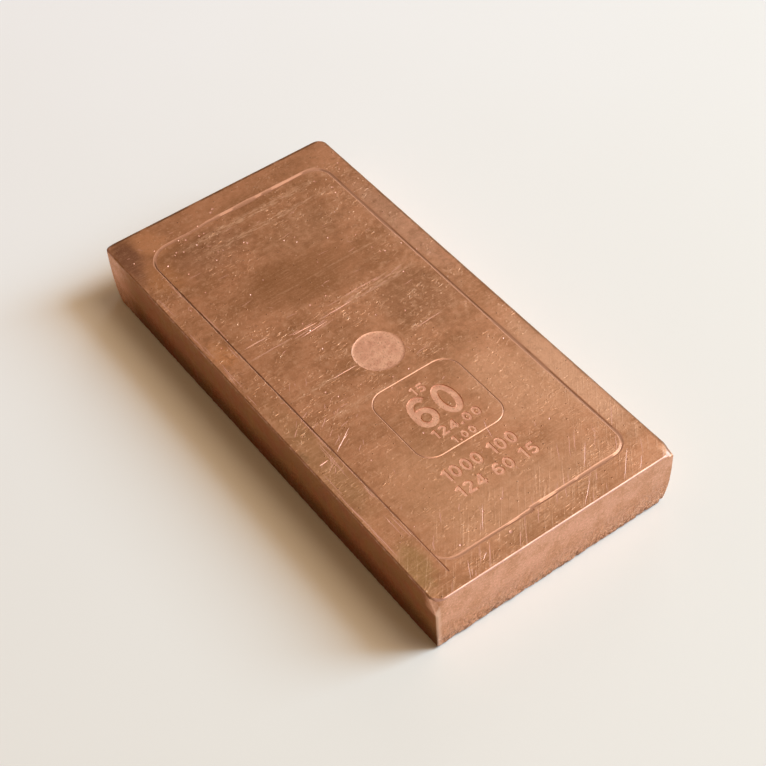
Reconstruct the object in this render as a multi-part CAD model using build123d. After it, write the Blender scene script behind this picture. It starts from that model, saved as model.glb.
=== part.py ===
from build123d import *
import os

# Copper ingot: one flat bar, cast in one piece, with its upper face finished and engraved
# Millimetres; X across the width, Y along the length, Z up from the middle of the underside
# The front of the bar is its -Y end, the end that the engraved square stands nearest to

# The bar
bar_width = 60.0
bar_length = 124.0
bar_thickness = 15.0
top_bevel = 0.45
bottom_edge_radius = 0.8

# Rounds of the upright corners: the front ones are tight, and the right one slackens near its foot
back_corner_radius = 2.5
front_corner_radius = 1.0
front_right_foot_radius = 3.6
front_right_foot_height = 5.5
upper_face_corner_radius = 2.2

# The front left corner, knocked flat by a blow: how far the flat reaches along each edge
knock_across = 2.5
knock_along = 2.5
knock_down = 4.6

# Border line engraved round the upper face; margins run to the middle of the line
border_side_margin = 5.7
border_front_margin = 6.8
border_back_margin = 7.7
border_radius = 4.6
border_line_width = 0.8
border_line_depth = 0.2

# Engraved square with round corners; its sizes run to the middle of its line
square_width = 21.8
square_height = 21.4
square_radius = 4.2
square_line_width = 0.5
square_line_depth = 0.15
front_edge_to_square = 28.1

# Round blank recess behind the square
recess_diameter = 11.4
recess_depth = 0.25
recess_wall_slope = 30.0
square_to_recess = 4.05

# Places that follow from the sizes above
front_edge = -bar_length / 2
border_width = bar_width - 2 * border_side_margin
border_length = bar_length - border_front_margin - border_back_margin
border_middle = front_edge + border_front_margin + border_length / 2
square_front = front_edge + front_edge_to_square
square_middle = square_front + square_height / 2
recess_middle = square_front + square_height + square_to_recess + recess_diameter / 2


def level_outline(height, inset, front_left_radius, front_right_radius, back_radius):
    """The bar's outline at a height, pulled in by an inset, each upright corner with its own round."""
    across = bar_width / 2 - inset
    along = bar_length / 2 - inset
    rounds = {
        (-across, -along, height): front_left_radius,
        (across, -along, height): front_right_radius,
        (across, along, height): back_radius,
        (-across, along, height): back_radius,
    }
    sheet = Pos(0, 0, height) * Rectangle(2 * across, 2 * along)
    for corner, radius in rounds.items():
        sheet = fillet(sheet.vertices().sort_by_distance(corner)[0], radius)
    return sheet.face()


def bar_blank():
    """The plain bar: walls from the underside to the bevel, the bevel, and the round underside edge."""
    tight = front_corner_radius
    foot = level_outline(0, 0, tight, front_right_foot_radius, back_corner_radius)
    above_foot = level_outline(front_right_foot_height, 0, tight, tight, back_corner_radius)
    shoulder = level_outline(bar_thickness - top_bevel, 0, tight, tight, back_corner_radius)
    face_radius = upper_face_corner_radius
    upper_face = level_outline(bar_thickness, top_bevel, face_radius, face_radius, face_radius)
    lower_walls = loft([foot, above_foot], ruled=True)
    lower_walls = fillet(lower_walls.faces().sort_by(Axis.Z)[0].edges(), bottom_edge_radius)
    upper_walls = loft([above_foot, shoulder], ruled=True)
    return lower_walls + upper_walls + loft([shoulder, upper_face], ruled=True)


def knocked_corner():
    """What the blow took off: all that lies outside a flat across the front left corner."""
    corner = Vector(-bar_width / 2, front_edge, bar_thickness)
    below = corner - Vector(0, 0, knock_down)
    to_front_edge = Vector(knock_across, 0, knock_down)
    to_side_edge = Vector(0, knock_along, knock_down)
    flat = Plane(origin=below, x_dir=to_front_edge, z_dir=to_front_edge.cross(to_side_edge))
    reach = 2 * (knock_across + knock_along + knock_down)
    return extrude(flat * Rectangle(reach, reach), amount=reach)


def engraved_line(width, height, radius, line_width, line_depth, middle):
    """A V-shaped groove swept once round a rectangle with round corners on the upper face."""
    path = Pos(0, middle, bar_thickness) * RectangleRounded(width, height, radius).wire()
    start = Plane(origin=path @ 0, x_dir=(path % 0).cross(Vector(0, 0, 1)), z_dir=path % 0)
    left_lip = (-line_width, line_depth)
    right_lip = (line_width, line_depth)
    bottom = (0, -line_depth)
    section = start * make_face(Polyline(left_lip, right_lip, bottom, close=True))
    return sweep(section, path=path)


def blank_recess():
    """The shallow round recess: a flat floor inside a wall that slopes outwards."""
    floor = Pos(0, recess_middle, bar_thickness - recess_depth) * Circle(recess_diameter / 2)
    return extrude(floor, amount=recess_depth, taper=-recess_wall_slope)


ingot = bar_blank()
ingot -= knocked_corner()
ingot -= engraved_line(
    border_width, border_length, border_radius, border_line_width, border_line_depth, border_middle
)
ingot -= engraved_line(
    square_width, square_height, square_radius, square_line_width, square_line_depth, square_middle
)
ingot -= blank_recess()

os.makedirs("parts", exist_ok=True)
export_step(ingot, "parts/ingot.step")
print("ingot volume", round(ingot.volume / 1000, 2), "cm3")
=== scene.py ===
# %% [markdown]
# The object is one flat bar of copper, cast in one piece and lying on a pale surface. Its upper face
# was rubbed flat, engraved, and has been scratched and tarnished since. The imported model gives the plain
# bar at its true size. This script dresses it: the same bar as a finer mesh, with the small forms that a
# camera sees, and with copper that looks handled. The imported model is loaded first, so that every place
# below can be worked out from the bar itself.

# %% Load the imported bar
import math
import random

import bmesh
import bpy
from mathutils import Matrix, Vector, noise


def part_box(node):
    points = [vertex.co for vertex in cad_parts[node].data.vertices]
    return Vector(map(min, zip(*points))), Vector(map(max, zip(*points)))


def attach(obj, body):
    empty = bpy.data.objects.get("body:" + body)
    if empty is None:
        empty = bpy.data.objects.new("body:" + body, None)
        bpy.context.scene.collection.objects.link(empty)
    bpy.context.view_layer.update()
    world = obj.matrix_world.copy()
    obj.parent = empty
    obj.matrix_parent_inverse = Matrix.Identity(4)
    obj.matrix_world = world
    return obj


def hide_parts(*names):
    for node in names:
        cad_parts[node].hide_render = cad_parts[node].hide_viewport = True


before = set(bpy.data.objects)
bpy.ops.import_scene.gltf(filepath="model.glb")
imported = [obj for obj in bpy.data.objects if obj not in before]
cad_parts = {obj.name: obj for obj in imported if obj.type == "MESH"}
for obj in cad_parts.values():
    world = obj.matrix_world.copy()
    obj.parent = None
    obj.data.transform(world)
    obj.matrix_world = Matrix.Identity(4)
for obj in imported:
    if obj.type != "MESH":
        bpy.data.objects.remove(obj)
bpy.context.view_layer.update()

print("packed nodes", sorted(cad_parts))

# %% [markdown]
# The bar is small, so its forms are easier to think about in millimetres, while Blender's lights expect
# metres. So the mesh is modelled in millimetres and scaled once, when it is finished. The bar's own sizes
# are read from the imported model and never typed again.

# %% Read the bar's own size
MM = 0.001
bar_low, bar_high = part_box("ingot")
bar_width, bar_length, bar_thickness = (bar_high - bar_low) / MM
print("bar", round(bar_width, 2), "x", round(bar_length, 2), "x", round(bar_thickness, 2), "mm")

# %% [markdown]
# A camera has a place, a direction, a roll and a lens. Here all four come from the bar's straight edges
# in the photograph: they run to vanishing points, and only one camera sends them there. Setting the
# matrix directly is surer than nudging angles, because its three axes can be read off.

# %% Place the camera
camera_place = Vector((-139.3, -218.0, 290.4)) * MM
camera_aim = Vector((-4.79, -10.76, 15.0)) * MM
camera_roll = math.radians(-4.26)
camera_lens = 83.35
sensor_width = 36.0

view_direction = (camera_aim - camera_place).normalized()
level_right = view_direction.cross(Vector((0, 0, 1))).normalized()
rolled_right = Matrix.Rotation(-camera_roll, 3, view_direction) @ level_right
camera_up = rolled_right.cross(view_direction)

camera_data = bpy.data.cameras.new("photo_camera")
camera_data.lens = camera_lens
camera_data.sensor_width = sensor_width
camera_data.clip_start = 0.01
camera = bpy.data.objects.new("photo_camera", camera_data)
bpy.context.scene.collection.objects.link(camera)
camera_axes = Matrix((rolled_right, camera_up, -view_direction)).transposed().to_4x4()
camera.matrix_world = Matrix.Translation(camera_place) @ camera_axes
bpy.context.scene.camera = camera
bpy.context.scene.view_settings.view_transform = "Standard"
print("camera looks down at", round(math.degrees(math.asin(-view_direction.z)), 1), "degrees")

# %% [markdown]
# Materials are made of nodes, and most of them use the same few steps: a place in millimetres, a noise,
# a limit, one colour over another. A small class named for those steps keeps each finish short enough to
# read. A step returns the socket that holds its result, which is handed to the next step. The colour and
# the bump so far are kept, because each layer is laid over the ones before it.

# %% The steps that every finish is made of
class Finish:
    """A node material in the making, with the place on the bar in millimetres."""

    def __init__(self, name, metallic=1.0):
        self.material = bpy.data.materials.new(name)
        self.material.use_nodes = True
        self.tree = self.material.node_tree
        self.shader = self.tree.nodes["Principled BSDF"]
        self.put(self.shader, {"Metallic": metallic})
        in_mm = self.new("VectorMath")
        in_mm.operation = "SCALE"
        place = self.new("TexCoord").outputs["Object"]
        self.place = self.put(in_mm, {0: place, "Scale": 1 / MM}).outputs[0]
        self.colour = self.bump = None

    def new(self, kind):
        """A new node of a kind."""
        return self.tree.nodes.new("ShaderNode" + kind)

    def put(self, node, values):
        """Give a node's sockets numbers or colours, or link them to other sockets."""
        for name, value in values.items():
            if isinstance(value, bpy.types.NodeSocket):
                self.tree.links.new(value, node.inputs[name])
            else:
                node.inputs[name].default_value = value
        return node

    def part_of(self, place, axis):
        """One of the three parts of a place, by the name of its axis."""
        return self.put(self.new("SeparateXYZ"), {0: place}).outputs[axis]

    def stretched(self, stretch, turn=0.0, centre=(0, 0, 0)):
        """The place as seen from a centre, turned about Z by degrees and scaled along each axis."""
        mapping = self.new("Mapping")
        mapping.vector_type = "TEXTURE"
        values = {"Location": centre, "Rotation": (0, 0, math.radians(turn)), "Scale": stretch}
        return self.put(mapping, {**values, "Vector": self.place}).outputs[0]

    def cloud(self, size, detail=3.0, roughness=0.5, shift=0.0, place=None):
        """Soft noise whose lumps are about so many millimetres across."""
        lumps = self.new("TexNoise")
        lumps.noise_dimensions = "4D"
        values = {"W": shift, "Scale": 1 / size, "Detail": detail, "Roughness": roughness}
        return self.put(lumps, {**values, "Vector": place or self.place}).outputs[0]

    def streaks(self, width, length, turn=0.0, shift=0.0):
        """Fine streaks so many millimetres wide and long, across the bar unless they are turned."""
        return self.cloud(1.0, 5.0, 0.6, shift, self.stretched((length, width, 1.0), turn))

    def limit(self, value, low, high, to_low=0.0, to_high=1.0):
        """Stretch the part of a value between low and high over a new range, softly at both ends."""
        ramp = self.new("MapRange")
        ramp.interpolation_type = "SMOOTHSTEP"
        values = {"From Min": low, "From Max": high, "To Min": to_low, "To Max": to_high}
        return self.put(ramp, {**values, "Value": value}).outputs[0]

    def ramp(self, axis, low, high, to_low=0.0, to_high=1.0):
        """A limit of the distance along an axis of the bar."""
        return self.limit(self.part_of(self.place, axis), low, high, to_low, to_high)

    def join(self, operation, *values):
        """Several values joined one after another by a step of arithmetic."""
        total = values[0]
        for value in values[1:]:
            step = self.new("Math")
            step.operation = operation
            total = self.put(step, {0: total, 1: value}).outputs[0]
        return total

    def times(self, *values):
        """The product of several values."""
        return self.join("MULTIPLY", *values)

    def most(self, *values):
        """The largest of several values."""
        return self.join("MAXIMUM", *values)

    def apart(self, value, middle):
        """How far a value lies from a middle, on either side."""
        return self.join("ABSOLUTE", self.join("SUBTRACT", value, middle), 0.0)

    def blend(self, amount, under, over):
        """The colour under, covered by the colour over by an amount from 0 to 1."""
        mix = self.new("Mix")
        mix.data_type = "RGBA"
        return self.put(mix, {0: amount, 6: under, 7: over}).outputs[2]

    def cover(self, amount, colour, strength=None):
        """Lay a colour over the colour so far, by an amount from 0 to 1 and a strength."""
        amount = self.times(amount, strength) if strength else amount
        self.colour = self.blend(amount, self.colour, colour)

    def raise_by(self, height, depth_mm):
        """Lay a bump, whose full height is so many millimetres, over the bump so far."""
        bump = self.put(self.new("Bump"), {"Strength": 1.0, "Distance": depth_mm * MM, "Height": height})
        if self.bump:
            self.put(bump, {"Normal": self.bump})
        self.bump = bump.outputs[0]

    def scattered(self, place, spacing, size, share, shift=0.0):
        """Separate dots, so many millimetres apart and across, on a share of the places for one."""
        moved = self.put(self.new("VectorMath"), {0: place, 1: (shift, 1.7 * shift, 0)}).outputs[0]
        cells = self.new("TexVoronoi")
        cells.voronoi_dimensions = "2D"
        self.put(cells, {"Scale": 1 / spacing, "Vector": moved})
        reach = size / (2 * spacing)
        dots = self.limit(cells.outputs["Distance"], reach, 0.25 * reach)
        draw = self.part_of(cells.outputs["Color"], "X")
        return self.times(dots, self.limit(draw, share, 0.85 * share))

    def soft_patch(self, centre, reach, turn=0.0, ragged=0.35):
        """An oval patch with a ragged soft edge: 1 in its middle and 0 outside its reach."""
        far = self.new("VectorMath")
        far.operation = "LENGTH"
        self.put(far, {0: self.stretched((*reach, 40.0), turn, (*centre, bar_thickness))})
        edge = self.cloud(0.35 * min(reach), detail=4.0, shift=centre[0])
        shifted = self.join("ADD", far.outputs["Value"], self.times(edge, 2 * ragged))
        return self.limit(shifted, 0.35 + ragged, 1.0 + ragged, 1.0, 0.0)

    def finished(self, roughness):
        """Hand the roughness, the colour and the bump to the shader."""
        self.put(self.shader, {"Base Color": self.colour, "Roughness": roughness})
        if self.bump:
            self.put(self.shader, {"Normal": self.bump})
        return self.material


# %% [markdown]
# The floor stands for the table that the bar lies on. It is plain and pale, so that nothing on it takes the
# eye from the bar. It is a little whiter and cooler further back, which is painted light: the far side is
# coloured as if more light reached it. A large plane is enough: the camera looks down, so its far edge never
# shows.

# %% Lay the floor
floor_reach = 1.6
near_floor = (0.78, 0.80, 0.81, 1)
far_floor_painted_light = (0.86, 0.895, 0.97, 1)


def floor_finish():
    """Pale and matt, with painted light that makes it a little whiter and cooler further back."""
    made = Finish("pale_floor", metallic=0.0)
    unevenness = made.times(made.cloud(60.0, 2.0), 60.0)
    # Whiter and cooler further back: painted light, not a change in the table.
    back = made.join("ADD", made.part_of(made.place, "Y"), unevenness)
    made.colour = made.blend(made.limit(back, -60.0, 330.0), near_floor, far_floor_painted_light)
    made.put(made.shader, {"Specular IOR Level": 0.2})
    return made.finished(0.9)


floor_mesh = bpy.data.meshes.new("floor")
floor_corners = [(x * floor_reach, y * floor_reach, 0) for x, y in ((-1, -1), (1, -1), (1, 1), (-1, 1))]
floor_mesh.from_pydata(floor_corners, [], [(0, 1, 2, 3)])
floor = bpy.data.objects.new("floor", floor_mesh)
bpy.context.scene.collection.objects.link(floor)
floor.data.materials.append(floor_finish())
print("floor reaches", floor_reach, "m each way")

# %% [markdown]
# Metal shows what is around it more than its own colour, so lighting copper means choosing what it
# mirrors. In the photograph the shadow lies soft on the left and behind, warm close to the bar and cool
# further out, and the edge at the front shines. So the main light is a large cool panel at the front
# right, like a window, with a second, warmer panel higher up. Two small panels light the front edge and
# the far margin, and the surroundings glow dim and warm, as a room does.

# %% Set the lights
def soft_panel(name, place, size, power, colour):
    """An area light that faces the bar, in metres and watts."""
    panel = bpy.data.lights.new(name, "AREA")
    panel.shape = "RECTANGLE"
    panel.size, panel.size_y = size
    panel.energy = power
    panel.color = colour
    lamp = bpy.data.objects.new(name, panel)
    lamp.location = place
    lamp.rotation_euler = (-Vector(place)).to_track_quat("-Z", "Y").to_euler()
    bpy.context.scene.collection.objects.link(lamp)


soft_panel("window_light", (1.43, -0.69, 1.20), (0.8, 1.3), 42.0, (0.60, 0.84, 1.0))
soft_panel("warm_light", (0.80, -0.50, 1.80), (0.8, 1.2), 17.6, (1.0, 0.71, 0.43))
soft_panel("front_light", (0.40, -0.82, 0.62), (0.5, 0.5), 0.7, (0.95, 0.97, 1.0))
soft_panel("side_light", (1.05, 0.84, 0.62), (0.5, 0.5), 1.6, (1.0, 0.95, 0.88))

surroundings = bpy.data.worlds.new("surroundings")
surroundings.use_nodes = True
glow = surroundings.node_tree.nodes["Background"]
glow.inputs["Color"].default_value = (1.0, 0.60, 0.30, 1)
glow.inputs["Strength"].default_value = 0.30
bpy.context.scene.world = surroundings
print("lights", [lamp.name for lamp in bpy.data.lights])

# %% [markdown]
# The copper of the upper face is a metal, so its colour is the colour of its mirror image. It was rubbed
# across its width, which left fine streaks, some in paler bands where the rubbing dragged. Tarnish lies over
# it in clouds: brown in the far half, purple in the far left corner, pinker at the near right. Some of these
# clouds are also painted reflection: the pale pink ones at the near right and front are a painted sheen, and
# the brown ones in the middle and far half a painted darker reflection. One even noise could not do this, so
# the finish is laid on in layers, and each says where on the bar it lies.

# %% The layers of the upper face
clean_copper = (0.76, 0.42, 0.27, 1)
brown_tarnish = (0.52, 0.275, 0.155, 1)
pale_rub = (0.90, 0.59, 0.43, 1)
bright_copper = (0.97, 0.68, 0.52, 1)
dark_tarnish = (0.40, 0.20, 0.11, 1)
dark_grit = (0.20, 0.09, 0.05, 1)
rim_oxide = (0.24, 0.13, 0.075, 1)

# Tarnish, and painted reflection: the pale pink patches near the right and front are a painted sheen, the
# brown ones in the middle and far half a painted darker reflection.
# Middle, reach, turn, colour and strength of each
tarnish_and_reflection_patches = [
    ((-27.6, 56.0), (4.6, 8.5), -10, (0.32, 0.165, 0.115, 1), 0.82),
    ((-28.5, 48.5), (2.6, 4.5), 0, (0.33, 0.168, 0.117, 1), 0.55),
    ((-21.0, 56.5), (5.0, 7.0), 12, (0.88, 0.49, 0.30, 1), 0.80),
    ((-24.5, 44.5), (5.5, 7.0), 0, (0.75, 0.4, 0.21, 1), 0.55),
    ((-12.0, 46.0), (13.0, 9.0), 0, (0.39, 0.22, 0.148, 1), 0.45),
    ((-27.0, 17.0), (3.4, 6.0), 8, (0.85, 0.44, 0.23, 1), 0.70),
    ((-29.5, -17.0), (1.6, 2.2), 0, (0.28, 0.165, 0.094, 1), 0.70),
    ((-27.8, -53.0), (4.4, 9.0), -14, (0.51, 0.33, 0.165, 1), 0.85),
    ((-27.0, -20.0), (5.0, 26.0), 0, (0.55, 0.37, 0.21, 1), 0.45),
    ((17.0, -29.0), (11.0, 21.0), 15, (0.89, 0.55, 0.38, 1), 0.70),
    ((27.0, -32.0), (5.0, 28.0), 0, (0.92, 0.60, 0.44, 1), 0.80),
    ((0.0, -52.0), (26.0, 10.0), 0, (0.84, 0.54, 0.38, 1), 0.45),
    ((0.0, 27.0), (19.0, 10.0), 0, (0.41, 0.21, 0.101, 1), 0.60),
    ((16.0, 5.0), (12.0, 13.0), 0, (0.44, 0.24, 0.138, 1), 0.60),
    ((27.0, 26.0), (4.5, 26.0), 0, (0.81, 0.53, 0.42, 1), 0.50),
    ((8.0, 38.0), (16.0, 8.0), 0, (0.55, 0.33, 0.21, 1), 0.40),
    ((-12.0, -40.0), (15.0, 20.0), 10, (0.80, 0.50, 0.33, 1), 0.45),
]


def lay_tarnish_and_reflection(made):
    """Broad patches of tarnish, partly painted reflection: a pale sheen at the near right and front, darker
    in the middle and far half.
    """
    for middle, reach, turn, stain, strength in tarnish_and_reflection_patches:
        made.cover(made.soft_patch(middle, reach, turn), stain, strength)


# Middle, reach and strength of each
rubbed_bands = [
    ((1.0, 50.2), (25.0, 1.5), 0.85),
    ((3.0, 45.6), (24.0, 1.2), 0.80),
    ((-2.0, 24.5), (12.0, 0.4), 0.25),
    ((13.0, 24.9), (12.0, 0.5), 0.45),
    ((12.0, 15.1), (14.0, 0.5), 0.55),
    ((-19.0, 15.5), (5.0, 0.4), 0.80),
    ((10.0, 13.4), (16.0, 1.4), 0.75),
    ((-18.0, 11.8), (8.0, 0.5), 0.80),
    ((-16.0, -3.1), (9.0, 0.7), 0.70),
    ((15.0, -1.7), (10.0, 0.5), 0.35),
    ((-12.0, -12.0), (12.0, 1.2), 0.60),
]


def rub_bands(made):
    """Where the rubbing dragged: pale bands across the bar, broken up along their length."""
    drag = made.limit(made.streaks(0.45, 2.2, shift=4.0), 0.42, 0.60)
    laid = [made.times(made.soft_patch(*band, 1.0, 0.06), strength) for *band, strength in rubbed_bands]
    return made.times(made.most(*laid), drag)


def dark_rims(made):
    """A thin broken line of oxide along the back edge, and a weaker one on the right."""
    broken = made.limit(made.cloud(6.0, 4.0, 0.7, shift=51.0), 0.40, 0.55, 0.2, 0.85)
    return made.times(made.most(made.ramp("Y", 61.0, 61.4), made.ramp("X", 29.1, 29.5, 0.0, 0.6)), broken)


def rough_places(made):
    """1 where the face is mottled, less at both ends, at the far left and in the dark middle."""
    corner = made.soft_patch((-26.5, 54.0), (9.0, 11.0))
    middle = made.times(made.soft_patch((1.0, 25.5), (25.0, 11.0)), 0.9)
    kept = made.join("SUBTRACT", 1.0, made.most(corner, middle))
    far_half = made.ramp("Y", -28.0, 10.0, 0.60, 1.0)
    back_margin = made.ramp("Y", 56.5, 53.0, 0.6, 1.0)
    return made.times(kept, made.times(far_half, back_margin))


def small_marks_and_glints(made, unsmoothed):
    """Curled wear and bright marks, whose dots are painted glints, thickest in the far half, and dark grit
    everywhere.
    """
    groups = made.limit(made.cloud(8.0, 3.0, 0.55, shift=21.0), 0.36, 0.58)
    where = made.times(groups, unsmoothed)
    curls = made.new("TexNoise")
    values = {"Scale": 1 / 1.3, "Detail": 3.0, "Distortion": 1.6}
    made.put(curls, {**values, "Vector": made.stretched((1.6, 1.0, 1.0), 4)})
    curled = made.times(made.limit(curls.outputs[0], 0.56, 0.64), where)
    # Bright dots: painted glints, where small facets would catch the light.
    dots = made.times(made.scattered(made.place, 2.0, 0.66, 0.45), where)
    dashes = made.scattered(made.stretched((7.0, 1.0, 1.0), 3), 1.0, 0.26, 0.30, 5.0)
    slanted = made.scattered(made.stretched((5.0, 1.0, 1.0), 40), 1.5, 0.24, 0.08, 9.0)
    marks = made.most(dots, made.times(made.most(dashes, slanted), where, 0.8))
    return curled, marks, made.scattered(made.place, 2.6, 0.42, 0.30, 13.0)


def filed_area(made):
    """1 along the front margin and up the near right margin, fading inwards."""
    near_right = made.times(made.ramp("X", 12.0, 26.0), made.ramp("Y", 0.0, -45.0))
    return made.most(made.ramp("Y", -38.0, -54.0), near_right)


print("layers of the upper face ready")

# %% [markdown]
# With the layers ready, the finish is put together. The streaks also tilt the metal very slightly, so the
# light breaks up along them. The front margin was dressed with a file held at a slant, which left diagonal
# strokes. Mottling, curls of wear and bright marks are thickest in the far half, and dark specks of grit lie
# everywhere. The bright dots among the marks are painted glints, small painted highlights where facets would
# catch the light.

# %% The rubbed copper of the upper face
def rubbed_copper():
    """The upper face: clouded, streaked across, filed at the front, marked all over."""
    made = Finish("rubbed_copper")
    clouds = made.limit(made.streaks(8.0, 13.0, 3), 0.34, 0.70)
    made.colour = made.blend(clouds, clean_copper, brown_tarnish)
    lay_tarnish_and_reflection(made)
    wisps = made.streaks(0.9, 2.6, 2, shift=2.0)
    made.cover(made.limit(wisps, 0.54, 0.72, 0.0, 0.26), pale_rub)
    made.cover(made.limit(wisps, 0.44, 0.26, 0.0, 0.25), dark_tarnish)
    fine = made.streaks(0.22, 6.0, 1)
    made.cover(made.limit(fine, 0.50, 0.70, 0.0, 0.36), pale_rub)
    made.cover(rub_bands(made), bright_copper)
    grain = made.cloud(0.55, 3.0, 0.6, shift=17.0)
    made.cover(made.limit(grain, 0.52, 0.70, 0.0, 0.25), pale_rub)
    made.cover(made.limit(grain, 0.46, 0.30, 0.0, 0.20), dark_tarnish)
    unsmoothed = rough_places(made)
    mottle = made.cloud(1.4, 4.0, 0.6, shift=27.0)
    made.cover(made.times(made.limit(mottle, 0.50, 0.66, 0.0, 0.40), unsmoothed), pale_rub)
    made.cover(made.times(made.limit(mottle, 0.49, 0.34, 0.0, 0.34), unsmoothed), dark_tarnish)
    file_marks = made.streaks(0.42, 11.0, turn=52, shift=7.0)
    filed = made.times(made.limit(file_marks, 0.5, 0.70), filed_area(made))
    made.cover(filed, bright_copper, 0.34)
    curls, marks, grit = small_marks_and_glints(made, unsmoothed)
    made.cover(curls, bright_copper, 0.20)
    made.cover(marks, bright_copper, 0.8)
    made.cover(grit, dark_grit, 0.75)
    made.cover(dark_rims(made), rim_oxide)
    rough = made.limit(fine, 0.3, 0.7, 0.44, 0.50)
    rough = made.join("SUBTRACT", rough, made.times(marks, 0.10))
    for height, depth_mm in ((fine, 0.015), (grain, 0.025), (wisps, 0.03), (filed, 0.015), (curls, 0.022)):
        made.raise_by(height, depth_mm)
    made.raise_by(made.join("ADD", marks, grit), 0.04)
    return made.finished(rough)


# %% [markdown]
# A tool or a blow leaves fresh metal, so the walls of the grooves are cleaner and lighter than the face
# round them. They have dulled since, and the bottoms of the lines that run along the bar, and a little of
# the one at the front, are darkened with painted shade. The recess and the numerals were blasted: pale, matt
# and pitted, with no streaks. Edges are rubbed by every hand and every box, which keeps them bright, save on
# the left, right and back, where they have darkened. None of these needs more than two or three layers.

# %% Fresh, frosted and worn copper
def tool_cut_copper():
    """The walls of the engraved lines, darkened with painted shade deep in those along the bar and the
    front.
    """
    made = Finish("tool_cut_copper")
    dulled = made.cloud(1.5, 3.0)
    made.colour = made.blend(dulled, (0.82, 0.50, 0.37, 1), (0.64, 0.36, 0.25, 1))
    across, along = made.part_of(made.place, "X"), made.part_of(made.place, "Y")
    from_middle = made.join("ABSOLUTE", across, 0.0)
    on_border = made.limit(made.apart(from_middle, 24.2), 1.2, 0.4)
    beside_square = made.limit(made.apart(along, -23.2), 11.0, 8.5)
    on_square = made.times(made.limit(made.apart(from_middle, 10.9), 1.2, 0.4), beside_square)
    at_front = made.limit(made.apart(along, -55.3), 1.5, 0.8, 0.0, 0.32)
    # Painted shade in the bottoms of the lines along the bar and at the front, weaker towards the right.
    shaded_lines = made.most(on_border, on_square, at_front)
    deep = made.ramp("Z", bar_thickness - 0.03, bar_thickness - 0.06)
    made.cover(made.times(shaded_lines, deep, made.limit(across, 15.0, 22.0, 0.85, 0.45)), (0.20, 0.095, 0.05, 1))
    return made.finished(made.limit(dulled, 0.3, 0.7, 0.50, 0.62))


def frosted_copper():
    """The round recess and the numerals."""
    made = Finish("frosted_copper")
    grain = made.cloud(0.45, 4.0, 0.7)
    patches = made.limit(made.cloud(1.8, 4.0), 0.40, 0.62)
    made.colour = made.blend(patches, (0.87, 0.55, 0.41, 1), (0.77, 0.45, 0.33, 1))
    made.cover(made.limit(grain, 0.50, 0.3, 0.0, 0.8), (0.46, 0.25, 0.17, 1))
    made.raise_by(grain, 0.05)
    return made.finished(made.limit(grain, 0.3, 0.7, 0.55, 0.68))


def worn_edge_copper():
    """The bevel, bright at the front and darker elsewhere, the scratches and the nicks."""
    made = Finish("worn_edge_copper")
    rubs = made.cloud(2.4, 5.0, 0.65)
    made.colour = made.blend(rubs, (0.90, 0.57, 0.48, 1), (0.66, 0.37, 0.29, 1))
    oxide = made.most(made.ramp("X", 28.9, 29.6), made.ramp("Y", 60.9, 61.6))
    made.cover(oxide, (0.26, 0.15, 0.08, 1), 0.75)
    breaks = made.limit(made.cloud(2.5, 4.0, 0.7, shift=41.0), 0.60, 0.46, 0.5, 0.9)
    made.cover(made.times(made.ramp("X", -29.1, -29.6), breaks), (0.38, 0.19, 0.09, 1))
    return made.finished(made.limit(rubs, 0.3, 0.7, 0.50, 0.64))


print("fresh, frosted and worn copper ready")

# %% [markdown]
# The sides are the skin of the casting. At the top they are fairly smooth, pink with clouds of tan.
# Towards the bottom edge the skin is coarse, grainy and browner, with dark teeth along its foot that are
# painted contact shade with some dark specks of the skin. The long left side has some oxide and is the
# darkest, mostly from painted shade that deepens towards its foot. One finish does for all, because its
# place on the bar, the height above all, decides what is mixed in.

# %% The cast copper of the sides
def cast_copper():
    """The sides and the underside."""
    made = Finish("cast_copper")
    clouds = made.limit(made.cloud(4.5, 5.0, 0.65), 0.36, 0.70)
    made.colour = made.blend(clouds, (0.79, 0.425, 0.285, 1), (0.65, 0.345, 0.20, 1))
    low_down = made.ramp("Z", 9.0, 1.5)
    coarse = made.cloud(0.65, 5.0, 0.8, 3.0, made.stretched((1.0, 1.0, 1.8)))
    grains = made.times(low_down, made.limit(coarse, 0.42, 0.60))
    pits = made.times(low_down, made.limit(coarse, 0.46, 0.36))
    # Dark teeth along the foot: painted contact shade where the bar meets the floor, with some dark specks
    # of the skin.
    teeth = made.times(made.ramp("Z", 3.4, 1.0), made.limit(coarse, 0.54, 0.42))
    made.cover(low_down, (0.60, 0.28, 0.14, 1), 0.65)
    made.cover(grains, (0.86, 0.48, 0.30, 1), 0.7)
    made.cover(pits, (0.40, 0.18, 0.09, 1), 0.75)
    made.cover(teeth, (0.27, 0.12, 0.06, 1), 0.8)
    skin_grain = made.cloud(0.5, 4.0, 0.75, shift=6.0)
    made.cover(made.limit(skin_grain, 0.51, 0.64, 0.0, 0.7), (0.95, 0.58, 0.42, 1))
    made.cover(made.limit(skin_grain, 0.47, 0.34, 0.0, 0.65), (0.50, 0.24, 0.13, 1))
    lay_oxide_and_shade(made, low_down)
    # A pale strip up the near left corner: a painted highlight, the sharp edge between the shaded side and
    # the lit front end.
    painted_corner_highlight = made.times(made.ramp("X", -28.5, -29.3), made.ramp("Y", -61.6, -61.85))
    made.cover(painted_corner_highlight, (0.92, 0.62, 0.47, 1), 0.6)
    made.raise_by(skin_grain, 0.07)
    made.raise_by(grains, 0.3)
    return made.finished(made.limit(clouds, 0.3, 0.7, 0.42, 0.56))


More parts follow.
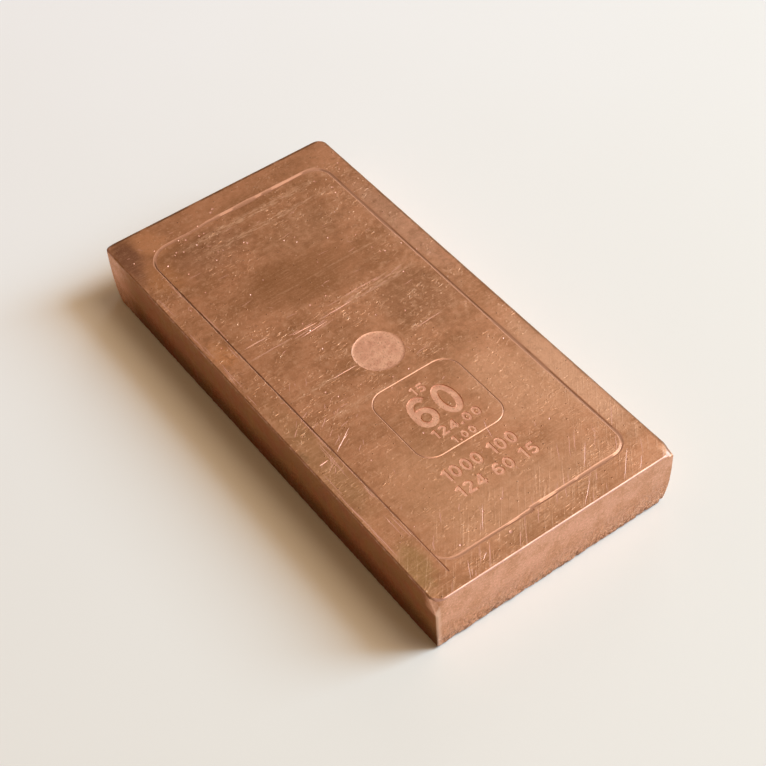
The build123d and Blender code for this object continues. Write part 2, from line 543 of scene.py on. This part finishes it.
def lay_oxide_and_shade(made, low_down):
    """The left side darkened in two reds, some oxide but mostly painted shade, deepest towards the foot,
    save where the knocked corner is bare.
    """
    redder = made.limit(made.cloud(3.5, 4.0, 0.6, shift=31.0), 0.42, 0.60)
    high = made.blend(redder, (0.36, 0.16, 0.055, 1), (0.37, 0.135, 0.055, 1))
    # The lower colour is darker: painted shade, deepest near the foot.
    low = made.blend(redder, (0.20, 0.08, 0.018, 1), (0.24, 0.067, 0.02, 1))
    # Oxide and painted shade over the left side, lighter towards the far end.
    oxide = made.times(made.ramp("X", -29.2, -29.8), made.ramp("Y", 61.0, 46.0, 0.1, 1.0))
    bare = made.times(made.soft_patch((-30.0, -62.0), (4.4, 4.4), ragged=0.1), made.ramp("Z", 10.2, 11.6))
    amount = made.limit(made.join("SUBTRACT", oxide, bare), 0.0, 1.0)
    made.cover(amount, made.blend(low_down, high, low))


finishes = [rubbed_copper(), tool_cut_copper(), frosted_copper(), cast_copper(), worn_edge_copper()]
print("finishes", [finish.name for finish in finishes])

# %% [markdown]
# The bar's outline is a rectangle with round corners. Rather than start from a cube and bevel it, the
# outline is walked once and turned into stations, each with its own outward direction, and every level of
# the bar is the same walk with another inset. The back corners are rounder than the front ones, and two
# corners slacken towards the foot, so each round is worked out for the height of the level. The stations
# are close together, so that the sides can be worn and roughened everywhere.

# %% Walk round the outline
station_spacing = 0.5
bevel = 0.32
least_radius = 0.25
widest_radius = 2.5
corner_steps = 10
back_right, back_left, front_left, front_right = (1, 1), (-1, 1), (-1, -1), (1, -1)
# The round of the wall, how far it slackens towards the foot, how suddenly, and how far the bevel opens it
corner_rounds = {
    back_right: (2.5, 0.0, 1, 0.0),
    back_left: (1.5, 3.2, 3, 1.3),
    front_left: (0.45, 0.0, 1, 2.05),
    front_right: (0.45, 3.2, 4, 2.05),
}
corners_in_turn = list(corner_rounds)


def walk_round():
    """Stations counter-clockwise from the right: two corners, how far between them, and outward."""
    stations = []
    for number, corner in enumerate(corners_in_turn):
        for step in range(corner_steps + 1):
            outward = math.radians(90 * (number + step / corner_steps))
            stations.append((corner, corner, 0.0, (math.cos(outward), math.sin(outward))))
        following = corners_in_turn[(number + 1) % 4]
        side = bar_width if number % 2 == 0 else bar_length
        steps = round((side - 2 * widest_radius) / station_spacing)
        for step in range(1, steps):
            stations.append((corner, following, step / steps, stations[-1][3]))
    return stations


def radius_at(corner, height):
    """The round of an upright corner at a height."""
    wall, slack, suddenness, opening = corner_rounds[corner]
    up_the_bevel = max(0.0, 1.0 - (bar_thickness - height) / bevel)
    return wall + slack * (1.0 - height / bar_thickness) ** suddenness + opening * up_the_bevel


def ring(inset, height):
    """The points of one level of the bar, inset from the outline, and their outward directions."""
    centres = {}
    for corner in corners_in_turn:
        radius = max(radius_at(corner, height) - inset, least_radius)
        reach_x = bar_width / 2 - inset - radius
        reach_y = bar_length / 2 - inset - radius
        centres[corner] = Vector((corner[0] * reach_x, corner[1] * reach_y)), radius
    points = []
    for first, second, part, (out_x, out_y) in outline:
        spot = centres[first][0].lerp(centres[second][0], part)
        radius = centres[first][1] + (centres[second][1] - centres[first][1]) * part
        place = Vector((spot.x + out_x * radius, spot.y + out_y * radius, height))
        points.append((place, Vector((out_x, out_y, 0))))
    return points


outline = walk_round()
print("outline stations", len(outline))

# %% [markdown]
# The profile is what a saw cut through the side would show: a small round at the underside, an upright
# wall, and a narrow worn bevel at the top. Three more rings lie on the upper face, so that the margin has
# points of its own. The tops of both front corners were knocked. A knocked corner is pressed flat by
# moving every point outside the flat straight back onto it, which is what the blow did to the metal.

# %% Describe the profile and the wear
bottom_radius = 0.9
bottom_steps = 5
wall_spacing = 0.55
bevel_steps = 4
margin_rings = (1.1, 2.2, 3.6)


def profile():
    """(inset, height) pairs from the underside up to the upper face's margin."""
    pairs = []
    for step in range(bottom_steps + 1):
        turn = math.radians(90 * step / bottom_steps)
        pairs.append((bottom_radius * (1 - math.sin(turn)), bottom_radius * (1 - math.cos(turn))))
    wall_top = bar_thickness - bevel
    steps = round((wall_top - bottom_radius) / wall_spacing)
    for step in range(1, steps + 1):
        pairs.append((0.0, bottom_radius + (wall_top - bottom_radius) * step / steps))
    for step in range(1, bevel_steps + 1):
        turn = math.radians(90 * step / bevel_steps)
        pairs.append((bevel * (1 - math.cos(turn)), wall_top + bevel * math.sin(turn)))
    return pairs + [(inset, bar_thickness) for inset in margin_rings]


# Each knocked corner, and how far its flat reaches across, along and down
knocks = [(front_left, 2.3, 2.3, 3.7), (front_right, 2.6, 3.4, 1.5)]
knock_softness = 0.06
foot_height, teeth_depth = 2.8, 0.8
lump_depth, wave_depth, edge_wear = 0.22, 0.03, 0.06


def knocked_flat(corner, across, along, down):
    """The lowest point of a knocked corner's flat, and the flat's outward direction."""
    side, end = corner
    low = Vector((side * bar_width / 2, end * bar_length / 2, bar_thickness - down))
    return low, Vector((side / across, end / along, 1 / down)).normalized()


def skin_depth(point, outward):
    """How far the cast skin lies inside the true outline, in millimetres."""
    low_down = (1.0 - point.z / bar_thickness) ** 1.5
    on_end = abs(outward.y)
    lumps = noise.fractal(point * 0.9, 0.7, 2.1, 4) * 0.5 + 0.5
    waves = noise.noise(Vector((point.x * 0.09, point.y * 0.09, point.z * 0.2))) * 0.5 + 0.5
    at_foot = max(0.0, 1.0 - point.z / foot_height)
    teeth = max(0.0, noise.noise(Vector((point.x * 1.7, point.y * 1.7, point.z * 0.4))) + 0.1)
    rough = (0.02 + lump_depth * (0.25 + 0.75 * on_end) * low_down) * lumps
    return rough + wave_depth * waves + teeth_depth * (0.3 + 0.7 * on_end) * teeth * at_foot


def worn(point, outward, inset):
    """One point of the bar after casting, handling and the blow on its corner."""
    moved = point - outward * skin_depth(point, outward)
    at_top_edge = max(0.0, 1.0 - abs(point.z - (bar_thickness - 0.2)) / 0.6) * (inset < 1.0)
    ripple = noise.noise(Vector((point.x * 0.35, point.y * 0.35, 3.0))) * 0.5 + 0.5
    moved -= outward * (edge_wear * ripple * at_top_edge)
    for low, flat_outward in flats:
        beyond = (moved - low).dot(flat_outward) + 0.12 * noise.noise(point * 0.9)
        if beyond > -6 * knock_softness:
            kept = -knock_softness * math.log(1.0 + math.exp(-beyond / knock_softness))
            moved -= flat_outward * (beyond - kept)
    moved.z = min(max(moved.z, 0.0), bar_thickness)
    return moved


flats = [knocked_flat(*knock) for knock in knocks]
print("knocked corners", len(flats))

# %% [markdown]
# The blank is made by joining each ring to the next with four-sided faces and closing the underside and
# the upper face with one flat face each. Flat areas need no more points than their edges have.

# %% Build the blank bar
rubbed, tool_cut, frosted, cast, worn_edge = range(len(finishes))


def mesh_from(name, points, faces, slots):
    """A mesh object in millimetres with every finish; slots are the finish numbers of its faces."""
    mesh = bpy.data.meshes.new(name)
    mesh.from_pydata([tuple(point) for point in points], [], faces)
    for finish in finishes:
        mesh.materials.append(finish)
    mesh.polygons.foreach_set("material_index", slots)
    mesh.validate()
    made = bpy.data.objects.new(name, mesh)
    bpy.context.scene.collection.objects.link(made)
    return made


def finish_between(low_level, high_level):
    """The number of the finish for the faces between two levels of the profile."""
    if low_level[1] >= bar_thickness:
        return rubbed
    return worn_edge if high_level[1] > bar_thickness - bevel else cast


def blank_bar():
    """The whole bar without its engraving."""
    points, faces, slots = [], [], []
    levels = profile()
    count = len(outline)
    for inset, height in levels:
        points.extend(worn(point, outward, inset) for point, outward in ring(inset, height))
    for level in range(len(levels) - 1):
        for station in range(count):
            beside = (station + 1) % count
            low, high = level * count, (level + 1) * count
            faces.append((low + station, low + beside, high + beside, high + station))
        slots += [finish_between(levels[level], levels[level + 1])] * count
    last = (len(levels) - 1) * count
    faces.append(tuple(range(count - 1, -1, -1)))
    faces.append(tuple(range(last, last + count)))
    return mesh_from("copper_bar", points, faces, slots + [cast, rubbed])


bar = blank_bar()
print("blank bar", len(bar.data.vertices), "points")

# %% [markdown]
# Engraving takes metal away. In Blender that is a Boolean modifier set to Difference, with a cutter
# shaped like the tool's path. A V-shaped tool leaves a groove with two sloping walls, so its cutter is a
# thin wedge drawn along a route. Where the tool ran shallow the wedge is smaller, and the line fades.

# %% Helpers for cutters
above_face = 0.12


def arc(centre, radius, start, end, steps=9):
    """Points along an arc in the plane of the upper face, angles in degrees."""
    turns = [math.radians(start + (end - start) * step / steps) for step in range(steps + 1)]
    middle = Vector(centre)
    return [middle + radius * Vector((math.cos(turn), math.sin(turn))) for turn in turns]


def spaced(route, spacing):
    """The same route with more points on its long straight stretches."""
    points = [route[0]]
    for start, end in zip(route, route[1:]):
        steps = max(1, round((end - start).length / spacing))
        points.extend(start.lerp(end, step / steps) for step in range(1, steps + 1))
    return points


def swept_cutter(sections, closed, slot):
    """A solid through a row of sections, each listed bottom first and then round to the left."""
    sides = len(sections[0])
    faces = []
    for number in range(len(sections) - (not closed)):
        a, b = sides * number, sides * ((number + 1) % len(sections))
        for corner in range(sides):
            beside = (corner + 1) % sides
            faces.append((a + corner, b + corner, b + beside, a + beside))
    if not closed:
        last = sides * (len(sections) - 1)
        faces.append(tuple(range(sides)))
        faces.append(tuple(range(last + sides - 1, last - 1, -1)))
    points = [point for section in sections for point in section]
    return mesh_from("cutter", points, faces, [slot] * len(faces))


def headings(route, closed):
    """For each point of a route, the direction to its right and how much a corner widens it."""
    found = []
    count = len(route)
    for number, spot in enumerate(route):
        arriving = spot - route[number - 1] if number or closed else route[1] - spot
        leaving = route[(number + 1) % count] - spot if number < count - 1 or closed else arriving
        along = (arriving.normalized() + leaving.normalized()).normalized()
        widen = 1 / max(0.6, along.dot(leaving.normalized()))
        found.append((Vector((along.y, -along.x)), widen))
    return found


def groove_cutter(route, width, depth, strength, closed=False, lean=(0, 0), breadth=None, slot=tool_cut):
    """A wedge along a route of flat points; strength and breadth say how deep and wide it runs."""
    breadth = breadth or strength
    sections = []
    for number, (across, widen) in enumerate(headings(route, closed)):
        spot, done = route[number], number / (len(route) - 1)
        part = strength(done, spot)
        reach = width * breadth(done, spot) / 2 * (1 + above_face / (depth * part))
        bottom = Vector((spot.x + lean[0] * part, spot.y + lean[1] * part, bar_thickness - depth * part))
        right, left = spot + across * reach, spot - across * reach
        top = bar_thickness + above_face
        sections.append((bottom, Vector((right.x, right.y, top)), Vector((left.x, left.y, top))))
    return swept_cutter(sections, closed, slot)


print("cutters reach", above_face, "mm above the face")

# %% [markdown]
# The border line runs round the upper face. On the real bar it fades near the far left corner, its left
# stretch overshoots the near left corner instead of turning, and its front stretch was cut in two passes
# that miss each other by a little. Those faults are drawn as they are, because they are what makes the
# bar look engraved by hand.

# %% Cut the border line
border_left, border_right = -24.1, 24.3
border_back, border_front = 54.35, -55.2


def at_back(spot):
    """1 on the stretch of the border line along the back, right of where it fades."""
    return min(max((spot.x + 6.0) / 3.0, 0.0), 1.0) * min(max(spot.y - 52.0, 0.0), 1.0)


def border_strength(part, spot):
    """The line fades at the back left, is deepest along the back and wavers a little."""
    waver = 0.85 + 0.3 * noise.noise(Vector((spot.x * 0.2, spot.y * 0.2, 1.0)))
    faded = 1.0 - 0.8 * math.exp(-((spot.x + 11.5) ** 2 / 10 + (spot.y - 54) ** 2 / 6))
    corner = 1.0 - 0.45 * math.exp(-((spot.x + 22) ** 2 + (spot.y - 50) ** 2) / 40)
    return max(0.12, waver * faded * corner * (1.0 + 0.3 * at_back(spot)))


def border_breadth(part, spot):
    """The line is widest at the back, narrower at the right and front, and thin at the left."""
    on_left = min(max((-20.0 - spot.x) / 3.0, 0.0), 1.0) * min(max((50.0 - spot.y) / 4.0, 0.0), 1.0)
    waver = 0.9 + 0.3 * noise.noise(Vector((spot.x * 0.15, spot.y * 0.15, 7.0)))
    broken = 0.5 * on_left * noise.noise(Vector((spot.x, spot.y * 0.7, 11.0)))
    return waver * (1.25 + 0.45 * at_back(spot) - 0.55 * on_left) + broken


def second_pass_strength(part, spot):
    """The second pass fades away as it nears the front left corner."""
    return max(0.15, 0.9 - 0.75 * part)


main_route = [Vector((-23.3, -57.3)), Vector((border_left, 47.6))]
main_route += arc((border_left + 6.0, 47.8), 6.0, 180, 90)
main_route += [Vector((-10.0, 53.9)), Vector((-7.0, border_back))]
main_route += arc((border_right - 4.5, border_back - 4.5), 4.5, 90, 0)
main_route += arc((border_right - 4.4, border_front + 4.4), 4.4, 0, -90)
main_route += [Vector((-1.7, border_front))]
second_route = [Vector((-1.2, border_front - 0.4))] + arc((-19.3, border_front + 3.6), 4.0, 270, 180)

border_tool = {"width": 0.8, "depth": 0.15, "lean": (0.02, -0.17), "breadth": border_breadth}
cutters = [
    groove_cutter(spaced(main_route, 0.9), strength=border_strength, **border_tool),
    groove_cutter(spaced(second_route, 1.5), strength=second_pass_strength, **border_tool),
]
print("border routes", len(main_route), "and", len(second_route), "points")

# %% [markdown]
# The near half of the face has an engraved square with round corners, cut with a finer tool in one even
# pass. It is the same wedge, drawn round a closed route.

# %% Cut the square
square_left, square_right = -10.8, 11.0
square_back, square_front = -12.5, -33.9
square_radius = 4.2


def square_strength(part, spot):
    """An even line with the slightest waver."""
    return 0.9 + 0.2 * noise.noise(Vector((spot.x * 0.3, spot.y * 0.3, 5.0)))


def square_route():
    """Once round the square, corner by corner."""
    left, right = square_left + square_radius, square_right - square_radius
    front, back = square_front + square_radius, square_back - square_radius
    centres = ((right, back), (left, back), (left, front), (right, front))
    turns = (0, 90, 180, 270)
    corners = [arc(centre, square_radius, turn, turn + 90) for centre, turn in zip(centres, turns)]
    return [spot for corner in corners for spot in corner]


cutters.append(groove_cutter(square_route(), 0.44, 0.075, square_strength, closed=True))
print("square", round(square_right - square_left, 1), "x", round(square_back - square_front, 1), "mm")

# %% [markdown]
# The round recess is a shallow pan with a frosted floor. Its cutter is a disc of rings, so that the
# floor can be uneven, with lumps and a few pits where the blasting went deeper. A real floor like that
# never mirrors as one plane.

# %% Cut the round recess
recess_centre = Vector((-0.1, -2.75))
recess_radius = 5.5
recess_depth = 0.10
recess_slope = 0.25
recess_rings = 13
recess_spokes = 72
recess_pits = [(-0.3, 3.3, 0.35), (3.0, -0.4, 0.3), (-3.5, -0.9, 0.22), (-0.4, -3.9, 0.25), (0.1, -1.0, 0.2)]


def recess_floor(x, y):
    """Height of the recess floor below the upper face, in millimetres."""
    lumps = 0.03 * noise.noise(Vector((x * 1.3, y * 1.3, 9.0)))
    pits = sum(0.12 * math.exp(-((x - a) ** 2 + (y - b) ** 2) / size**2) for a, b, size in recess_pits)
    return recess_depth + lumps + pits


def recess_cutter():
    """A pan of rings: floor, sloping wall, and a lid above the face."""
    points = [(recess_centre.x, recess_centre.y, bar_thickness - recess_floor(0, 0))]
    faces = []
    levels = [recess_radius * (number + 1) / recess_rings for number in range(recess_rings)]
    levels.append(recess_radius + recess_slope * (1 + above_face / recess_depth))
    for level, radius in enumerate(levels):
        for spoke in range(recess_spokes):
            turn = 2 * math.pi * spoke / recess_spokes
            uneven = 1 + 0.006 * math.sin(5 * turn + 1) * (level >= recess_rings - 1)
            x, y = radius * uneven * math.cos(turn), radius * uneven * math.sin(turn)
            low = -recess_floor(x, y) if level < recess_rings else above_face
            points.append((recess_centre.x + x, recess_centre.y + y, bar_thickness + low))
    for spoke in range(recess_spokes):
        beside = (spoke + 1) % recess_spokes
        faces.append((0, 1 + beside, 1 + spoke))
        for level in range(recess_rings):
            low, high = 1 + level * recess_spokes, 1 + (level + 1) * recess_spokes
            faces.append((low + spoke, low + beside, high + beside, high + spoke))
    faces.append(tuple(1 + recess_rings * recess_spokes + spoke for spoke in range(recess_spokes)))
    return mesh_from("cutter", points, faces, [frosted] * len(faces))


cutters.append(recess_cutter())
print("recess", 2 * recess_radius, "mm across and", recess_depth, "mm deep")

# %% [markdown]
# The numerals are sunk into the face with flat floors. A text object could make them, but its strokes
# would be thick and thin by turns, and even strokes are easier to cut. So each numeral is a few strokes
# in a box one unit high, straight runs and parts of ellipses, and a cutter with sloping sides follows
# every stroke.

# %% Draw the numerals as strokes
def bow(centre, radii, start, end, steps=12):
    """Points along part of an ellipse, angles in degrees."""
    turns = [math.radians(start + (end - start) * step / steps) for step in range(steps + 1)]
    return [(centre[0] + radii[0] * math.cos(turn), centre[1] + radii[1] * math.sin(turn)) for turn in turns]


def numeral_strokes(numeral, half):
    """The width of a numeral and its strokes; half is half the stroke's width."""
    wide, middle = 0.58, 0.29
    round_across = middle - half
    if numeral == "0":
        return wide, [bow((middle, 0.5), (round_across, 0.5 - half), 90, 450, 24)]
    if numeral == "1":
        return 0.34, [[(0.34 - half, 0), (0.34 - half, 1)], [(0.34 - half, 1 - half), (0.0, 0.72)]]
    if numeral == "2":
        top = bow((middle, 0.71), (round_across, 0.29 - half), 170, -38)
        return wide, [top + [(half, half)], [(0, half), (wide, half)]]
    if numeral == "4":
        post = 0.43
        return 0.6, [[(post, 0), (post, 1)], [(post, 1 - half), (half, 0.3)], [(0, 0.28), (0.6, 0.28)]]
    if numeral == "5":
        bowl = bow((middle, 0.33), (round_across, 0.33 - half), 140, -155, 16)
        return wide, [[(0.12, 1 - half), (0.54, 1 - half)], [(0.14, 1 - half), (0.09, 0.47)], bowl]
    if numeral == "6":
        ring_of_six = bow((middle, 0.32), (round_across, 0.32 - half), 90, 450, 24)
        stem = [(half, 0.32)] + bow((0.35, 0.48), (0.35 - half, 0.52 - half), 180, 48)
        return wide, [ring_of_six, stem]
    if numeral == ".":
        return 0.2, [[(0, half), (0.2, half)]]
    return 0.3, []


print("a 6 has", len(numeral_strokes("6", 0.08)[1]), "strokes")

# %% [markdown]
# The lines of numerals are plain numbers, such as the bar's own sizes in millimetres. Each line fills
# its own box on the face. The floors of neighbouring strokes lie at very slightly different depths,
# because the solver that cuts them doesn't like two floors in one plane.

# %% Cut the numerals
numeral_draft = 0.12
numeral_gap = 0.13
numeral_lines = [
    ("15", -1.9, 1.6, -17.9, 2.4, 0.19, 0.09),
    ("60", -5.9, 5.7, -26.8, 8.8, 0.165, 0.17),
    ("124.00", -5.3, 6.7, -30.1, 2.5, 0.20, 0.10),
    ("1.00", -2.9, 2.9, -33.3, 2.0, 0.21, 0.09),
    ("1000 100", -10.2, 7.9, -40.4, 3.3, 0.18, 0.11),
    ("124 60 15", -10.4, 9.5, -45.2, 3.1, 0.18, 0.11),
]


def stroke_cutter(route, width, depth):
    """A flat-bottomed cutter with sloping sides along one stroke."""
    closed = (route[0] - route[-1]).length < 0.01
    route = route[:-1] if closed else route
    sections = []
    for spot, (across, widen) in zip(route, headings(route, closed)):
        low, high = across * (width / 2 * widen), across * ((width / 2 + numeral_draft) * widen)
        floor_level, top = bar_thickness - depth, bar_thickness + above_face
        corners = ((-1, low, floor_level), (1, low, floor_level), (1, high, top), (-1, high, top))
        sections.append([Vector((spot.x + s * v.x, spot.y + s * v.y, z)) for s, v, z in corners])
    return swept_cutter(sections, closed, frosted)


def numeral_cutters(text, left, right, foot, height, boldness, depth):
    """The cutters for one line of numerals that fills its box on the upper face."""
    widths = [numeral_strokes(numeral, boldness / 2)[0] for numeral in text]
    whole = sum(widths) + numeral_gap * (len(text) - 1)
    stretch = (right - left) / whole
    made, pen = [], 0.0
    for numeral, width in zip(text, widths):
        for stroke in numeral_strokes(numeral, boldness / 2)[1]:
            route = [Vector((left + (pen + x) * stretch, foot + y * height)) for x, y in stroke]
            made.append(stroke_cutter(route, boldness * height, depth + 0.003 * (len(made) % 5)))
        pen += width + numeral_gap
    return made


strokes = [stroke for line in numeral_lines for stroke in numeral_cutters(*line)]
cutters += strokes
print("numeral strokes", len(strokes))

# %% [markdown]
# Scratches are grooves too, only thinner. The strong ones are placed where the bar has them. Each is a
# short wedge that is widest in its middle and runs out at both ends, with the finish of the worn edges.

# %% Cut the strong scratches
strong_scratches = [
    ((-11.9, 12.4), (-5.4, 12.3), 0.26, 0.05),
    ((-3.2, 12.7), (4.3, 12.95), 0.24, 0.04),
    ((-10.8, 10.7), (-3.4, 11.3), 0.30, 0.05),
    ((-23.2, 11.8), (-12.2, 11.9), 0.20, 0.02),
    ((3.0, 15.2), (13.4, 15.3), 0.13, 0.02),
    ((4.6, 12.8), (15.2, 13.2), 0.15, 0.02),
    ((-22.4, 15.5), (-16.4, 15.4), 0.18, 0.03),
    ((-12.4, -3.2), (-6.2, -3.2), 0.18, 0.04),
    ((9.4, -2.3), (17.6, -1.9), 0.13, 0.02),
    ((5.3, -31.7), (3.7, -36.8), 0.28, 0.05),
    ((-8.4, -48.7), (-12.4, -54.0), 0.18, 0.05),
    ((17.7, -49.0), (13.3, -54.0), 0.20, 0.05),
    ((12.1, -57.0), (7.0, -61.5), 0.17, 0.035),
    ((23.3, -55.3), (17.2, -61.5), 0.18, 0.04),
    ((24.4, -58.5), (21.5, -61.5), 0.17, 0.035),
    ((-18.8, -57.4), (-21.2, -61.6), 0.17, 0.035),
    ((-14.9, -58.3), (-16.6, -59.4), 0.17, 0.035),
    ((-23.2, -20.2), (-17.3, -16.2), 0.20, 0.05),
    ((-22.4, -19.4), (-18.4, -17.4), 0.14, 0.03),
    ((-28.0, -20.9), (-25.6, -20.7), 0.30, 0.08),
]


def scratch_cutter(start, end, width, depth):
    """A thin wedge between two points of the face that runs out at both ends."""
    first, last = Vector(start), Vector(end)
    steps = max(6, round((last - first).length / 1.5))
    sway = Vector((first.y - last.y, last.x - first.x)).normalized()
    route = []
    for step in range(steps + 1):
        part = step / steps
        bend = 0.12 * noise.noise(Vector((first.x + 3 * part, first.y, 2.0)))
        route.append(first.lerp(last, part) + sway * bend)

    def strength(part, spot):
        return max(0.06, math.sin(math.pi * part) ** 0.6)

    return groove_cutter(route, width, depth, strength, slot=worn_edge)


scratches = [scratch_cutter(*scratch) for scratch in strong_scratches]
print("strong scratches", len(scratches))

# %% [markdown]
# Besides the strong scratches there are fine ones, too many to place one by one. They come in kinds:
# slanting file marks at the front, short rubs across the far half, and some in any direction. Each kind
# has an area, a slant and a length, and a seeded generator chooses the rest, so that the same marks come
# out on every run.

# %% Cut the fine marks
chance = random.Random(31)
mark_kinds = [
    ((-26, 28), (-61.5, -56.5), 52, 5, (1.5, 5.0), 16),
    ((4, 27), (-57, -44), 54, 6, (2.0, 7.0), 12),
    ((-22, 4), (-55, -44), 58, 12, (1.5, 4.0), 8),
    ((-12, -3), (10.4, 13.2), 5, 5, (1.0, 4.5), 14),
    ((-2, 22), (12.4, 15.6), 3, 4, (1.0, 4.0), 12),
    ((-22, 23), (24, 52), 3, 8, (1.0, 3.5), 9),
    ((-22, 23), (-12, 24), 2, 7, (1.5, 5.0), 8),
    ((-23, -14), (-25, 12), 35, 25, (0.8, 2.5), 14),
    ((-29.2, -28.5), (-50, 55), 90, 2, (3.0, 9.0), 14),
    ((-25.2, -23.3), (-50, 44), 90, 1.5, (4.0, 14.0), 12),
    ((-27.5, -20), (-24, -8), 30, 30, (1.0, 3.5), 16),
    ((-28, 28), (-16, 58), 0, 90, (0.6, 1.6), 26),
    ((-28, 28), (-58, -16), 52, 30, (0.6, 1.6), 7),
]


def fine_marks(across, along, slant, spread, lengths, count):
    """Cutters for one kind of fine mark."""
    made = []
    for _ in range(count):
        middle = Vector((chance.uniform(*across), chance.uniform(*along)))
        turn = math.radians(slant + chance.uniform(-spread, spread))
        half = Vector((math.cos(turn), math.sin(turn))) * (chance.uniform(*lengths) / 2)
        width = chance.uniform(0.10, 0.22)
        made.append(scratch_cutter(middle - half, middle + half, width, 0.11 * width))
    return made


for kind in mark_kinds:
    scratches += fine_marks(*kind)
print("scratches and fine marks", len(scratches))

# %% [markdown]
# Nicks are where something hard and pointed struck. A nick is a shallow pit with an uneven rim, so its
# cutter is a cone with its point down. They are thickest in the far half. Their walls have the finish of
# the worn edges, so that the ones that face the light show as bright specks.

# %% Cut the nicks
nick_count = 85
nick_spokes = 7


def nick_cutter(spot, size, depth):
    """An uneven cone with its point down, and a lid above the face."""
    points = [Vector((spot.x, spot.y, bar_thickness - depth))]
    spread = 1 + above_face / depth
    for spoke in range(nick_spokes):
        turn = 2 * math.pi * spoke / nick_spokes
        reach = size * spread * chance.uniform(0.6, 1.0)
        edge = spot + Vector((math.cos(turn), math.sin(turn))) * reach
        points.append(Vector((edge.x, edge.y, bar_thickness + above_face)))
    faces = [(0, 1 + (spoke + 1) % nick_spokes, 1 + spoke) for spoke in range(nick_spokes)]
    faces.append(tuple(range(1, nick_spokes + 1)))
    return mesh_from("cutter", points, faces, [worn_edge] * len(faces))


nicks = [nick_cutter(Vector(spot), 0.45, 0.12) for spot in ((-8.2, -57.4), (-4.7, 56.5), (-3.7, 57.2))]
for _ in range(nick_count):
    far = 55.0 - 112.0 * chance.random() ** 1.6
    spot = Vector((chance.uniform(-27.9, 28.5), far))
    size = chance.uniform(0.12, 0.34)
    nicks.append(nick_cutter(spot, size, 0.5 * size))
print("nicks", len(nicks))

# %% [markdown]
# The cutters are joined into two meshes, because one Boolean with many parts is much faster than many
# Booleans. The exact solver keeps thin wedges clean, and each new face takes its finish from the tool
# that cut it, because bar and cutters have the same list of finishes.

# %% Take the metal away
def joined(parts):
    """One object made of several, in millimetres."""
    points, faces, slots = [], [], []
    for part in parts:
        base = len(points)
        points += [point.co.copy() for point in part.data.vertices]
        faces += [tuple(base + corner for corner in face.vertices) for face in part.data.polygons]
        slots += [face.material_index for face in part.data.polygons]
        bpy.data.objects.remove(part)
    return mesh_from("tools", points, faces, slots)


def loose_edges(mesh):
    """How many edges don't have exactly two faces; a sound solid has none."""
    uses = {}
    for face in mesh.polygons:
        for key in face.edge_keys:
            uses[key] = uses.get(key, 0) + 1
    return sum(1 for count in uses.values() if count != 2)


def cut_away(body, cutter):
    """Subtract the cutter, whose parts may cross, from the body for good, and remove it."""
    step = body.modifiers.new("engraving", "BOOLEAN")
    step.operation = "DIFFERENCE"
    step.solver = "EXACT"
    step.use_self = True
    step.object = cutter
    bpy.context.view_layer.update()
    evaluated = body.evaluated_get(bpy.context.evaluated_depsgraph_get())
    carved = bpy.data.meshes.new_from_object(evaluated)
    body.modifiers.clear()
    plain, body.data = body.data, carved
    bpy.data.meshes.remove(plain)
    bpy.data.objects.remove(cutter)
    print("faces", len(body.data.polygons), "and loose edges", loose_edges(body.data))


cut_away(bar, joined(cutters))
cut_away(bar, joined(scratches + nicks))

# %% [markdown]
# Every face has its finish by now. The mesh is scaled to metres and shaded smooth, and the edges at sharp
# bends and round every cut are marked, so that walls and rims stay crisp.

# %% Scale the bar and hand it over
crisp_angle = math.radians(30)
bar.data.transform(Matrix.Scale(MM, 4))
bar.data.validate()
bar.data.shade_smooth()

shaped = bmesh.new()
shaped.from_mesh(bar.data)
for edge in shaped.edges:
    sides = edge.link_faces
    cut_rim = len(sides) == 2 and sides[0].material_index != sides[1].material_index
    edge.smooth = not (cut_rim or edge.calc_face_angle(0.0) > crisp_angle)
shaped.to_mesh(bar.data)
shaped.free()
bar.data.calc_loop_triangles()

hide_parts("ingot")
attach(bar, "root")
print("triangles", len(bar.data.loop_triangles))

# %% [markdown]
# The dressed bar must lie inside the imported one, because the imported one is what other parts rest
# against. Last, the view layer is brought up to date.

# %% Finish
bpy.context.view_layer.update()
